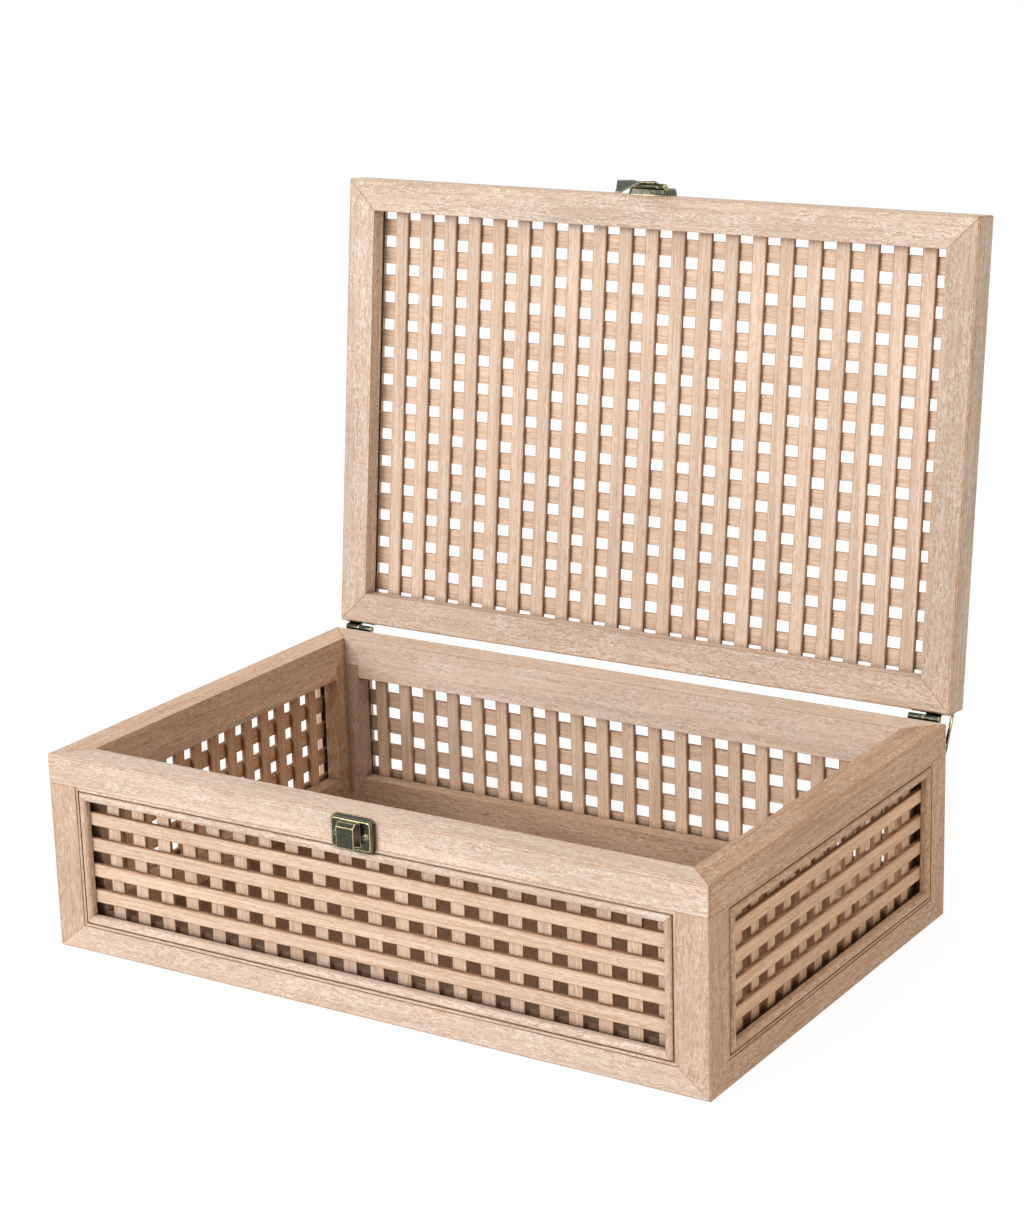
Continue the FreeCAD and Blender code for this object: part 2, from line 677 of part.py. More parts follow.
os.makedirs("parts", exist_ok=True)
for name, shape in nodes.items():
    solids = shape.Solids
    kept = solids[0] if len(solids) == 1 else Part.makeCompound(solids)
    kept.exportStep(f"parts/{name}.step")

print("nodes", len(nodes))
print("hinge axis", hinge_axis_y, hinge_axis_z)
print("hasp axis in the open pose", opened_place(hasp_pivot_y, hasp_pivot_z))
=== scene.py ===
import bpy
import json
import math
from mathutils import Matrix, Vector

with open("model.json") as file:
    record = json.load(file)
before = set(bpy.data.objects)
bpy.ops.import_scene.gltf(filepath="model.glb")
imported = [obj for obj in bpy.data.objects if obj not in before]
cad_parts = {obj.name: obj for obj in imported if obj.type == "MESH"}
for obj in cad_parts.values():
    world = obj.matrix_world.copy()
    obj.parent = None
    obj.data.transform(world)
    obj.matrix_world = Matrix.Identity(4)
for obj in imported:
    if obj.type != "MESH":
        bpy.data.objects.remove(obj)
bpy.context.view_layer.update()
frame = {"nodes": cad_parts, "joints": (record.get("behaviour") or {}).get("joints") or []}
nodes = frame["nodes"]
joints = {joint["name"]: joint for joint in frame["joints"]}
lidAngle = math.radians(joints["lid_hinge"]["range_deg"][1])
mm = 0.001
print("frame loaded:", len(nodes), "nodes")


# helpers
def toLinear(hexColour):
    # sRGB hex to linear, with an alpha of 1
    parts = [int(hexColour[i:i + 2], 16) / 255 for i in (1, 3, 5)]
    return [p / 12.92 if p <= 0.04045 else ((p + 0.055) / 1.055) ** 2.4 for p in parts] + [1.0]


def addNode(tree, kind, settings=None, links=None):
    # settings are the node's own values, links are its inputs: a socket is linked, anything else is set
    node = tree.nodes.new(kind)
    for key, value in (settings or {}).items():
        setattr(node, key, value)
    for key, value in (links or {}).items():
        if isinstance(value, bpy.types.NodeSocket):
            tree.links.new(value, node.inputs[key])
        else:
            node.inputs[key].default_value = value
    return node


def newMaterial(name):
    material = bpy.data.materials.new(name)
    material.use_nodes = True
    material.node_tree.nodes.clear()
    return material, material.node_tree


def dress(node, *layers):
    # the first material is the surface, the second one the eased edges
    mesh = nodes[node].data
    mesh.materials.clear()
    for material in layers:
        mesh.materials.append(material)


# camera: the photo's viewing angle, found from the box's own corners
camera = {
    "place": (0.7558, -1.1607, 0.5747),
    "turn": 32.70,           # degrees to the right of the front
    "drop": 16.32,           # degrees below level
    "roll": -1.62,
    "lens": 84.57,           # mm
    "film": 36,              # mm, for the long side of the picture
    "near": 0.05,
    "far": 50,
}


def makeCamera():
    turn, drop, roll = (math.radians(camera[key]) for key in ("turn", "drop", "roll"))
    ahead = Vector((-math.sin(turn) * math.cos(drop), math.cos(turn) * math.cos(drop), -math.sin(drop)))
    level = Vector((math.cos(turn), math.sin(turn), 0))
    above = level.cross(ahead)
    right = level * math.cos(roll) + above * math.sin(roll)
    up = above * math.cos(roll) - level * math.sin(roll)
    data = bpy.data.cameras.new("camera")
    data.lens = camera["lens"]
    data.sensor_width = camera["film"]
    data.clip_start = camera["near"]
    data.clip_end = camera["far"]
    holder = bpy.data.objects.new("camera", data)
    bpy.context.collection.objects.link(holder)
    axes = Matrix((right, up, -ahead)).transposed()
    holder.matrix_world = Matrix.Translation(camera["place"]) @ axes.to_4x4()
    bpy.context.scene.camera = holder


makeCamera()
print("camera placed")


# studio: pale floor, even sky, one large soft light from the front left and a weaker one from above
studio = {
    "floorSize": 12.0,
    "floorDrop": 0.05,       # mm, keeps the floor just clear of the box
    "floorPaint": "#f4f2ef",
    "floorGlow": 0.90,       # share of the floor's own white, so that it ends in the white background
    "floorShade": 0.16,      # how much of the light and shadow on the floor shows
    "backdrop": 1.0,         # plain white behind the box
    "skyStrength": 0.72,
    "skyTint": "#fbf5ee",
    "keyPlace": (-1.1, -2.6, 1.15),
    "lightAim": (0.0, 0.0, 0.12),
    "keySize": 1.6,
    "keyPower": 46.0,
    "keyTint": "#f6f8ff",
    "topPlace": (0.1, -0.7, 2.6),
    "topSize": 2.2,
    "topPower": 14.0,
    "topTint": "#f6f8ff",
}


def seenRays(tree):
    # 1 for rays that show the background: straight, mirrored or through something clear
    path = addNode(tree, "ShaderNodeLightPath")
    some = addNode(tree, "ShaderNodeMath", {"operation": "MAXIMUM"},
                   {0: path.outputs["Is Camera Ray"], 1: path.outputs["Is Glossy Ray"]})
    return addNode(tree, "ShaderNodeMath", {"operation": "MAXIMUM"},
                   {0: some.outputs[0], 1: path.outputs["Is Transmission Ray"]}).outputs[0]


def makeStudio():
    world = bpy.data.worlds.new("studioSky")
    world.use_nodes = True
    bpy.context.scene.world = world
    tree = world.node_tree
    tree.nodes.clear()
    sky = addNode(tree, "ShaderNodeBackground", None,
                  {"Color": toLinear(studio["skyTint"]), "Strength": studio["skyStrength"]})
    white = addNode(tree, "ShaderNodeBackground", None,
                    {"Color": (1, 1, 1, 1), "Strength": studio["backdrop"]})
    mix = addNode(tree, "ShaderNodeMixShader", None,
                  {0: seenRays(tree), 1: sky.outputs[0], 2: white.outputs[0]})
    addNode(tree, "ShaderNodeOutputWorld", None, {"Surface": mix.outputs[0]})

    half = studio["floorSize"] / 2
    mesh = bpy.data.meshes.new("floor")
    corners = [(-half, -half, 0), (half, -half, 0), (half, half, 0), (-half, half, 0)]
    mesh.from_pydata(corners, [], [(0, 1, 2, 3)])
    floor = bpy.data.objects.new("floor", mesh)
    bpy.context.collection.objects.link(floor)
    floor.location.z = -studio["floorDrop"] * mm
    # matt studio paper: white to the eye, with the object's soft shadow kept
    material, tree = newMaterial("mattStudioPaper")
    paper = addNode(tree, "ShaderNodeBsdfDiffuse", None, {"Color": toLinear(studio["floorPaint"])})
    glow = addNode(tree, "ShaderNodeEmission", None,
                   {"Color": (1, 1, 1, 1), "Strength": studio["floorGlow"]})
    shade = addNode(tree, "ShaderNodeBsdfDiffuse", None, {"Color": [studio["floorShade"]] * 3 + [1]})
    shown = addNode(tree, "ShaderNodeAddShader", None, {0: glow.outputs[0], 1: shade.outputs[0]})
    mix = addNode(tree, "ShaderNodeMixShader", None,
                  {0: seenRays(tree), 1: paper.outputs[0], 2: shown.outputs[0]})
    addNode(tree, "ShaderNodeOutputMaterial", None, {"Surface": mix.outputs[0]})
    mesh.materials.append(material)

    for name in ("key", "top"):
        lamp = bpy.data.lights.new(name + "Light", "AREA")
        lamp.shape = "DISK"
        lamp.size = studio[name + "Size"]
        lamp.energy = studio[name + "Power"]
        lamp.color = toLinear(studio[name + "Tint"])[:3]
        holder = bpy.data.objects.new(name + "Light", lamp)
        bpy.context.collection.objects.link(holder)
        holder.location = studio[name + "Place"]
        aim = Vector(studio["lightAim"]) - Vector(studio[name + "Place"])
        holder.rotation_euler = aim.to_track_quat("-Z", "Y").to_euler()
    bpy.context.scene.view_settings.view_transform = "Standard"


makeStudio()
print("studio lit")


# planed limed ash: blond wood with white paste left in fine wavy lines along the grain, and warm worn edges
limedAsh = {
    "ground": "#dac2ac",
    "shade": "#c9ad93",
    "lime": "#f6eee6",
    "line": "#b48a66",
    "edge": "#a9713f",
    "crevice": "#a97d57",
    # painted shade for deep holes and low ledges
    "pitShade": "#513521",
    "limeShare": 0.52,
    "lineShare": 0.35,
    "lineLength": 7.0,       # mm along the grain
    "lineWidth": 1.1,        # mm across it, drawn coarser than real pores so that the lines show
    "wobble": 0.8,           # mm, sideways wander of the lines
    "bend": 5.5,             # mm, from one bend to the next
    "streakLength": 60.0,    # mm, as the sizes below it
    "streakWidth": 1.6,
    "cloudLength": 90.0,
    "cloudWidth": 14.0,
    "patchLength": 35.0,
    "patchWidth": 8.0,
    "roughness": 0.6,
    "relief": 0.05,          # mm
    "edgeWidth": 0.7,        # mm
    "gapReach": 0.8,         # mm, dark joints, and painted shade where parts meet and laths lie on each other
    "gapShare": 0.45,
    "pitShadeReach": 9.0,         # mm, painted shade at the bottom of deep holes
    "pitShadeFrom": 0.62,         # how open a spot may be and still take painted shade, of 1
    "pitShadeTo": 0.36,           # and how open it is where the painted shade is full
}
# the stiles are cut from plainer stock, a little darker
# with a darker joint colour, which also paints the shadow in the gaps beside the beads
stileAsh = dict(limedAsh, ground="#ccae94", shade="#b9987d", lime="#ecdfd2", limeShare=0.42,
                crevice="#8f6847")
# the boards of the side walls are a browner cut of the same wood, with the warm painted shade of those
# walls in it as well
brownAsh = dict(limedAsh, ground="#caa380", shade="#b38763", lime="#e6d5c4", line="#94683f", limeShare=0.5)
# rails with an inner ledge behind the lattice: painted shade on the ledge, and stronger painted shade in
# their hollows
sillAsh = dict(limedAsh, pitShade="#5e381c", pitShadeFrom=0.82, pitShadeTo=0.56, ledgeShare=0.85)
brownSillAsh = dict(brownAsh, pitShade="#5e381c", pitShadeFrom=0.82, pitShadeTo=0.56, ledgeShare=0.85)
# painted light: two rails inside are between the pale and the brown cut, and the upper one at the back is
# the palest, their tones set for how lit each one looks
tanAsh = dict(brownAsh, ground="#d8b798", shade="#c09a7a", lime="#e8d6c4")
backAsh = dict(limedAsh, ground="#e8d0b9", shade="#d9bda2")
# the lid's rails, and the one that shows its outer side, painted darker as shade
lidAsh = dict(limedAsh, ground="#d4bba4", shade="#c2a68c")
lidSideAsh = dict(limedAsh, ground="#cab19a", shade="#b59a80", lime="#ece0d4")
# sawn ash lath: straighter, finer and warmer grain with little lime, and painted shade on the narrow sides
sawnLath = dict(
    limedAsh,
    ground="#dec2a8",
    shade="#cba788",
    lime="#efe3d6",
    line="#bd9068",
    # a dark joint colour, which also paints the shade where laths lie on each other
    crevice="#7a4f30",
    # the painted shade on the narrow sides
    side="#8f6140",
    sideShadeShare=0.75,
    limeShare=0.32,
    lineLength=14.0,
    lineWidth=1.0,
    wobble=0.35,
    streakLength=90.0,
    streakWidth=1.1,
    roughness=0.62,
    relief=0.04,
    edgeWidth=0.4,
    gapReach=0.9,
    gapShare=0.85,
)
# the lid's inner laths, and then its outer ones, painted paler for the light of the room behind them and
# with less painted shade on their sides
paleLath = dict(sawnLath, ground="#e2c9b1", shade="#d1b094", lime="#f3eae0")
outerLath = dict(sawnLath, ground="#eccfb3", shade="#d9b594", lime="#f6ebdf", sideShadeShare=0.4)
# painted light: the back wall's laths are the palest and those of the side walls the brownest, their tones
# raised for the light that the lattice inside lacks
backLath = dict(sawnLath, ground="#f8dcc0", shade="#e8c6a4", lime="#f8ebdc", sideShadeShare=0.6)
brownLath = dict(sawnLath, ground="#e6bd98", shade="#cfa27a", lime="#ead3bb", line="#a5744b")


# settings that several nodes share
smooth = {"interpolation_type": "SMOOTHSTEP"}
blend = {"data_type": "RGBA", "blend_type": "MIX"}
tinted = {"data_type": "RGBA", "blend_type": "MULTIPLY"}
times = {"operation": "MULTIPLY"}

# how the pattern lies: it runs along X, so it is turned to the grain, and shifted for each strip
grainTurn = {"x": (0, 0, 0), "y": (0, 0, math.pi / 2), "z": (0, math.pi / 2, 0)}
stripShift = (731, 467, 613)     # mm for a chance of 1, so that no two strips show the same figure

# masks read from the shape: where each starts and where it is full
shapeMask = {
    "sideFrom": 0.55,        # cosine between a face and the broad side of its lath
    "sideTo": 0.25,
    "edgeFrom": 0.995,       # cosine between the rounded normal and the true one
    "edgeTo": 0.88,
    "edgeSamples": 4,
    "nookSamples": 5,
}

# marks in the wood: where a field or mask of 0 to 1 starts and is full, and what it gives there
woodMask = {
    "detail": 2.0,           # how fine the noise is, in halvings of its cell
    "grit": 0.55,            # and how strong the fine part is
    "wanderFrom": 0.25,      # sideways wander of the lines
    "wanderTo": 0.75,
    "grownFrom": 0.35,       # dark late wood, by the streaks
    "grownTo": 0.68,
    "boldFrom": 0.35,        # lines stronger in patches
    "boldTo": 0.58,
    "boldLeast": 0.35,
    "lineMiddle": 0.59,      # the value of the line field where a line runs, and its reach to each side
    "lineSpread": 0.045,
    "limeMiddle": 0.48,
    "limeSpread": 0.065,
    "lineCore": 0.35,        # share of that reach where a line is full
    "cloudFrom": 0.3,        # paler and darker clouds along a strip
    "cloudTo": 0.7,
    "cloudDark": 0.93,
    "cloudPale": 1.05,
    "stripDark": 0.91,       # and strips paler or darker as a whole
    "stripPale": 1.06,
    "wornFrom": 0.3,         # worn edges, in streaks
    "wornTo": 0.6,
    "wornLeast": 0.3,
    "wornMost": 0.75,
    "gapFrom": 0.72,         # how open a joint is, of 1
    "gapTo": 0.30,
    "pitShadeShare": 0.92,
    "footFrom": 10.0,        # mm above the table, the height from which holes take painted shade
    "footTo": 13.0,
    "ledgeFrom": 0.7,        # how far a face looks up, of 1
    "ledgeTo": 0.95,
    "ledgeTop": 40.0,        # mm, only the low ledges
    "ledgeFoot": 30.0,
    "lineRelief": 0.8,       # the part of the lines in the relief, beside the streaks
    "reliefStrength": 0.5,
    "glossFrom": 0.3,
    "glossTo": 0.7,
    "duller": 0.08,
    "glossier": 0.06,
    "ior": 1.5,
}


def grainPlace(tree, look, grain, tilt):
    # object coordinates in mm, with the grain along X, a shift for each separate strip, and a little wavy
    coords = addNode(tree, "ShaderNodeTexCoord")
    turned = addNode(tree, "ShaderNodeMapping", {"vector_type": "POINT"},
                     {"Vector": coords.outputs["Object"], "Rotation": (tilt, 0, 0),
                      "Scale": (1 / mm, 1 / mm, 1 / mm)})
    along = addNode(tree, "ShaderNodeMapping", {"vector_type": "POINT"},
                    {"Vector": turned.outputs[0], "Rotation": grainTurn[grain]})
    island = addNode(tree, "ShaderNodeNewGeometry").outputs["Random Per Island"]
    item = addNode(tree, "ShaderNodeObjectInfo").outputs["Random"]
    chance = addNode(tree, "ShaderNodeMath", {"operation": "ADD"}, {0: island, 1: item}).outputs[0]
    shift = addNode(tree, "ShaderNodeVectorMath", {"operation": "SCALE"}, {0: stripShift, "Scale": chance})
    place = addNode(tree, "ShaderNodeVectorMath", {"operation": "ADD"},
                    {0: along.outputs[0], 1: shift.outputs[0]})
    wander = addNode(tree, "ShaderNodeTexNoise", None,
                     {"Vector": place.outputs[0], "Scale": 1 / look["bend"], "Detail": 1.0})
    sideways = addNode(tree, "ShaderNodeMapRange", None,
                       {0: wander.outputs["Fac"], 1: woodMask["wanderFrom"], 2: woodMask["wanderTo"],
                        3: -look["wobble"], 4: look["wobble"]}).outputs[0]
    drift = addNode(tree, "ShaderNodeCombineXYZ", None, {"Y": sideways, "Z": sideways})
    bent = addNode(tree, "ShaderNodeVectorMath", {"operation": "ADD"},
                   {0: place.outputs[0], 1: drift.outputs[0]})
    return bent.outputs[0], island


def sideShadeShare(tree, faceWay):
    # 1 on the narrow sides of a lath, whose broad faces look the given way, where shade is painted
    normal = addNode(tree, "ShaderNodeTexCoord").outputs["Normal"]
    match = addNode(tree, "ShaderNodeVectorMath", {"operation": "DOT_PRODUCT"}, {0: normal, 1: faceWay})
    size = addNode(tree, "ShaderNodeMath", {"operation": "ABSOLUTE"}, {0: match.outputs["Value"]})
    return addNode(tree, "ShaderNodeMapRange", smooth,
                   {0: size.outputs[0], 1: shapeMask["sideFrom"], 2: shapeMask["sideTo"]}).outputs[0]


def edgeShare(tree, width):
    # 1 on the outer edges, where the rounded normal leaves the true one
    bevel = addNode(tree, "ShaderNodeBevel", {"samples": shapeMask["edgeSamples"]}, {"Radius": width * mm})
    flat = addNode(tree, "ShaderNodeNewGeometry").outputs["True Normal"]
    match = addNode(tree, "ShaderNodeVectorMath", {"operation": "DOT_PRODUCT"},
                    {0: bevel.outputs[0], 1: flat})
    return addNode(tree, "ShaderNodeMapRange", smooth,
                   {0: match.outputs["Value"], 1: shapeMask["edgeFrom"], 2: shapeMask["edgeTo"]}).outputs[0]


def nookShare(tree, reach, light, dark, most):
    # up to the given share where the surface is hemmed in, such as joints and deep holes; it marks dark
    # joints and painted shade
    near = addNode(tree, "ShaderNodeAmbientOcclusion", {"samples": shapeMask["nookSamples"]},
                   {"Distance": reach * mm})
    return addNode(tree, "ShaderNodeMapRange", smooth,
                   {0: near.outputs["AO"], 1: light, 2: dark, 3: 0.0, 4: most}).outputs[0]


def woodFields(tree, look, place):
    # noise drawn out along the grain, each field with cells of its own length and width
    field = {}
    for key in ("streak", "cloud", "patch", "line"):
        length = look[key + "Length"]
        width = look[key + "Width"]
        stretched = addNode(tree, "ShaderNodeVectorMath", {"operation": "MULTIPLY"},
                            {0: place, 1: (1 / length, 1 / width, 1 / width)}).outputs[0]
        field[key] = addNode(tree, "ShaderNodeTexNoise", None,
                             {"Vector": stretched, "Scale": 1.0, "Detail": woodMask["detail"],
                              "Roughness": woodMask["grit"]}).outputs["Fac"]
    return field


def drawGrain(tree, look, colours, field):
    # late wood in streaks, with brown lines and then white ones where the line field passes their middles
    grown = addNode(tree, "ShaderNodeMapRange", smooth,
                    {0: field["streak"], 1: woodMask["grownFrom"], 2: woodMask["grownTo"]}).outputs[0]
    colour = addNode(tree, "ShaderNodeMix", blend,
                     {0: grown, 6: colours["ground"], 7: colours["shade"]}).outputs[2]
    bold = addNode(tree, "ShaderNodeMapRange", smooth,
                   {0: field["patch"], 1: woodMask["boldFrom"], 2: woodMask["boldTo"],
                    3: woodMask["boldLeast"], 4: 1.0}).outputs[0]
    for tone in ("line", "lime"):
        spread = woodMask[tone + "Spread"]
        off = addNode(tree, "ShaderNodeMath", {"operation": "SUBTRACT"},
                      {0: field["line"], 1: woodMask[tone + "Middle"]}).outputs[0]
        away = addNode(tree, "ShaderNodeMath", {"operation": "ABSOLUTE"}, {0: off}).outputs[0]
        line = addNode(tree, "ShaderNodeMapRange", smooth,
                       {0: away, 1: spread, 2: spread * woodMask["lineCore"],
                        3: 0.0, 4: look[tone + "Share"]}).outputs[0]
        drawn = addNode(tree, "ShaderNodeMath", times, {0: line, 1: bold}).outputs[0]
        colour = addNode(tree, "ShaderNodeMix", blend, {0: drawn, 6: colour, 7: colours[tone]}).outputs[2]
    return colour


def stripTone(tree, field, island, colour):
    # each strip has its own depth of colour, and clouds along its length
    clouds = addNode(tree, "ShaderNodeMapRange", None,
                     {0: field["cloud"], 1: woodMask["cloudFrom"], 2: woodMask["cloudTo"],
                      3: woodMask["cloudDark"], 4: woodMask["cloudPale"]}).outputs[0]
    strip = addNode(tree, "ShaderNodeMapRange", None,
                    {0: island, 3: woodMask["stripDark"], 4: woodMask["stripPale"]}).outputs[0]
    level = addNode(tree, "ShaderNodeMath", times, {0: clouds, 1: strip}).outputs[0]
    grey = addNode(tree, "ShaderNodeCombineColor", None, {0: level, 1: level, 2: level}).outputs[0]
    return addNode(tree, "ShaderNodeMix", tinted, {0: 1.0, 6: colour, 7: grey}).outputs[2]


def wearEdges(tree, look, colours, field, colour):
    # warm bare wood along the edges, in streaks
    patchy = addNode(tree, "ShaderNodeMapRange", smooth,
                     {0: field["streak"], 1: woodMask["wornFrom"], 2: woodMask["wornTo"],
                      3: woodMask["wornLeast"], 4: woodMask["wornMost"]}).outputs[0]
    worn = addNode(tree, "ShaderNodeMath", times,
                   {0: edgeShare(tree, look["edgeWidth"]), 1: patchy}).outputs[0]
    return addNode(tree, "ShaderNodeMix", blend, {0: worn, 6: colour, 7: colours["edge"]}).outputs[2]


# dark joints, and painted shade where parts meet, in deep holes and on the low ledges
def darkenJointsAndPaintShade(tree, look, colours, colour):
    # dark joints, with painted shade where parts meet and laths lie on each other
    joint = nookShare(tree, look["gapReach"], woodMask["gapFrom"], woodMask["gapTo"], 1.0)
    gap = addNode(tree, "ShaderNodeMath", times, {0: joint, 1: look["gapShare"]}).outputs[0]
    colour = addNode(tree, "ShaderNodeMix", blend, {0: gap, 6: colour, 7: colours["crevice"]}).outputs[2]
    # painted shade in deep holes, but not in the fine joints, which have their colour already
    hollowShade = nookShare(tree, look["pitShadeReach"], look["pitShadeFrom"], look["pitShadeTo"], woodMask["pitShadeShare"])
    unfilled = addNode(tree, "ShaderNodeMath", {"operation": "SUBTRACT", "use_clamp": True},
                       {0: 1.0, 1: joint}).outputs[0]
    # nor the foot of the box, which the table hems in
    coords = addNode(tree, "ShaderNodeTexCoord")
    height = addNode(tree, "ShaderNodeSeparateXYZ", None, {0: coords.outputs["Object"]}).outputs["Z"]
    raised = addNode(tree, "ShaderNodeMapRange", smooth,
                     {0: height, 1: woodMask["footFrom"] * mm, 2: woodMask["footTo"] * mm}).outputs[0]
    shadeAllowed = addNode(tree, "ShaderNodeMath", times, {0: unfilled, 1: raised}).outputs[0]
    pitShade = addNode(tree, "ShaderNodeMath", times, {0: hollowShade, 1: shadeAllowed}).outputs[0]
    colour = addNode(tree, "ShaderNodeMix", blend, {0: pitShade, 6: colour, 7: colours["pitShade"]}).outputs[2]
    if "ledgeShare" not in look:
        return colour
    # painted shade on the low ledges that look up behind the lattice
    up = addNode(tree, "ShaderNodeSeparateXYZ", None, {0: coords.outputs["Normal"]}).outputs["Z"]
    level = addNode(tree, "ShaderNodeMapRange", smooth,
                    {0: up, 1: woodMask["ledgeFrom"], 2: woodMask["ledgeTo"],
                     3: 0.0, 4: look["ledgeShare"]}).outputs[0]
    low = addNode(tree, "ShaderNodeMapRange", smooth,
                  {0: height, 1: woodMask["ledgeTop"] * mm, 2: woodMask["ledgeFoot"] * mm}).outputs[0]
    ledge = addNode(tree, "ShaderNodeMath", times, {0: level, 1: low}).outputs[0]
    ledge = addNode(tree, "ShaderNodeMath", times, {0: ledge, 1: raised}).outputs[0]
    return addNode(tree, "ShaderNodeMix", blend, {0: ledge, 6: colour, 7: colours["pitShade"]}).outputs[2]


def woodSkin(tree, look, field, colour):
    # lines and streaks in low relief, with a gloss that changes a little from line to line
    relief = addNode(tree, "ShaderNodeMath", {"operation": "MULTIPLY_ADD"},
                     {0: field["line"], 1: woodMask["lineRelief"], 2: field["streak"]}).outputs[0]
    bump = addNode(tree, "ShaderNodeBump", None,
                   {"Strength": woodMask["reliefStrength"], "Distance": look["relief"] * mm,
                    "Height": relief}).outputs[0]
    gloss = addNode(tree, "ShaderNodeMapRange", None,
                    {0: field["line"], 1: woodMask["glossFrom"], 2: woodMask["glossTo"],
                     3: look["roughness"] + woodMask["duller"],
                     4: look["roughness"] - woodMask["glossier"]}).outputs[0]
    skin = addNode(tree, "ShaderNodeBsdfPrincipled", None,
                   {"Base Color": colour, "Roughness": gloss, "Normal": bump, "IOR": woodMask["ior"]})
    addNode(tree, "ShaderNodeOutputMaterial", None, {"Surface": skin.outputs[0]})


def makeWood(name, look, grain, tilt=0.0, faceWay=None):
    material, tree = newMaterial(name)
    colours = {key: toLinear(value) for key, value in look.items() if isinstance(value, str)}
    place, island = grainPlace(tree, look, grain, tilt)
    field = woodFields(tree, look, place)
    colour = drawGrain(tree, look, colours, field)
    colour = stripTone(tree, field, island, colour)
    if faceWay is not None:
        # painted shade on the narrow sides of the laths
        sideShadeMask = addNode(tree, "ShaderNodeMath", times,
                       {0: sideShadeShare(tree, faceWay), 1: look["sideShadeShare"]}).outputs[0]
        colour = addNode(tree, "ShaderNodeMix", blend, {0: sideShadeMask, 6: colour, 7: colours["side"]}).outputs[2]
    colour = wearEdges(tree, look, colours, field, colour)
    colour = darkenJointsAndPaintShade(tree, look, colours, colour)
    woodSkin(tree, look, field, colour)
    return material


# eased edge: lime rubbed off by hands down to warm brown wood, in patches a few mm long
wornArris = {
    "patch": 7.0,            # mm
    "detail": 3.0,
    "rubbedFrom": 0.35,
    "rubbedTo": 0.62,
    "rubbedLeast": 0.25,
    "rubbedMost": 0.95,
    "relief": 0.05,          # mm
    "reliefStrength": 0.4,
    "glossFrom": 0.3,
    "glossTo": 0.7,
    "dull": 0.6,
    "glossy": 0.48,
    "ior": 1.5,
}


def makeArris(name, look):
    material, tree = newMaterial(name)
    place = addNode(tree, "ShaderNodeTexCoord").outputs["Object"]
    patch = addNode(tree, "ShaderNodeTexNoise", None,
                    {"Vector": place, "Scale": 1 / (wornArris["patch"] * mm),
                     "Detail": wornArris["detail"]}).outputs["Fac"]
    rubbed = addNode(tree, "ShaderNodeMapRange", smooth,
                     {0: patch, 1: wornArris["rubbedFrom"], 2: wornArris["rubbedTo"],
                      3: wornArris["rubbedLeast"], 4: wornArris["rubbedMost"]}).outputs[0]
    colour = addNode(tree, "ShaderNodeMix", blend,
                     {0: rubbed, 6: toLinear(look["shade"]), 7: toLinear(look["edge"])}).outputs[2]
    bump = addNode(tree, "ShaderNodeBump", None,
                   {"Strength": wornArris["reliefStrength"], "Distance": wornArris["relief"] * mm,
                    "Height": patch}).outputs[0]
    gloss = addNode(tree, "ShaderNodeMapRange", None,
                    {0: patch, 1: wornArris["glossFrom"], 2: wornArris["glossTo"],
                     3: wornArris["dull"], 4: wornArris["glossy"]}).outputs[0]
    skin = addNode(tree, "ShaderNodeBsdfPrincipled", None,
                   {"Base Color": colour, "Roughness": gloss, "Normal": bump, "IOR": wornArris["ior"]})
    addNode(tree, "ShaderNodeOutputMaterial", None, {"Surface": skin.outputs[0]})
    return material


# the way that the rails of each wall and of the lid run
wallGrain = {"front": "x", "back": "x", "left": "y", "right": "y"}


def dressWalls(paleArris):
    brownArris = makeArris("handWornBrownAshEdge", brownAsh)
    alongY = (0, 1, 0)       # the way that the laths' broad faces look, front and back
    alongX = (1, 0, 0)       # and at the sides
    frontBoards = {
        "x": makeWood("planedLimedAsh_x", limedAsh, "x"),
        "z": makeWood("planedStileAsh_z", stileAsh, "z"),
    }
    backBoard = makeWood("planedPaleAsh_x", backAsh, "x")
    sill = makeWood("planedLimedAshSill_x", sillAsh, "x")
    sideSill = makeWood("planedBrownAshSill_y", brownSillAsh, "y")
    sideBoards = {grain: makeWood("planedBrownAsh_" + grain, brownAsh, grain) for grain in "yz"}
    tanBoards = {grain: makeWood("planedTanAsh_" + grain, tanAsh, grain) for grain in "xy"}
    frontLaths = {grain: makeWood("sawnAshLath_" + grain, sawnLath, grain, 0.0, alongY) for grain in "xz"}
    backLaths = {grain: makeWood("sawnPaleAshLath_" + grain, backLath, grain, 0.0, alongY)
                 for grain in "xz"}
    sideLaths = {grain: makeWood("sawnBrownAshLath_" + grain, brownLath, grain, 0.0, alongX)
                 for grain in "yz"}
    for wall, grain in wallGrain.items():
        pale = grain == "x"
        boards = frontBoards if pale else sideBoards
        laths = frontLaths if pale else sideLaths
        arris = paleArris if pale else brownArris
        for part in ("top_rail", "bottom_rail", "bead_level"):
            dress(wall + "_" + part, boards[grain], arris)
        for part in ("stile_a", "stile_b", "bead_upright"):
            dress(wall + "_" + part, boards["z"], arris)
        dress(wall + "_cross_laths", laths[grain], arris)
        dress(wall + "_upright_laths", laths["z"], arris)
    # boards and laths that differ from the rest of their wall
    for name in ("front_top_rail", "front_bottom_rail"):
        dress(name, sill, paleArris)
    dress("right_bottom_rail", sideSill, brownArris)
    dress("back_top_rail", backBoard, paleArris)
    dress("back_bottom_rail", tanBoards["x"], paleArris)
    dress("left_top_rail", tanBoards["y"], brownArris)
    dress("back_cross_laths", backLaths["x"], paleArris)
    dress("back_upright_laths", backLaths["z"], paleArris)


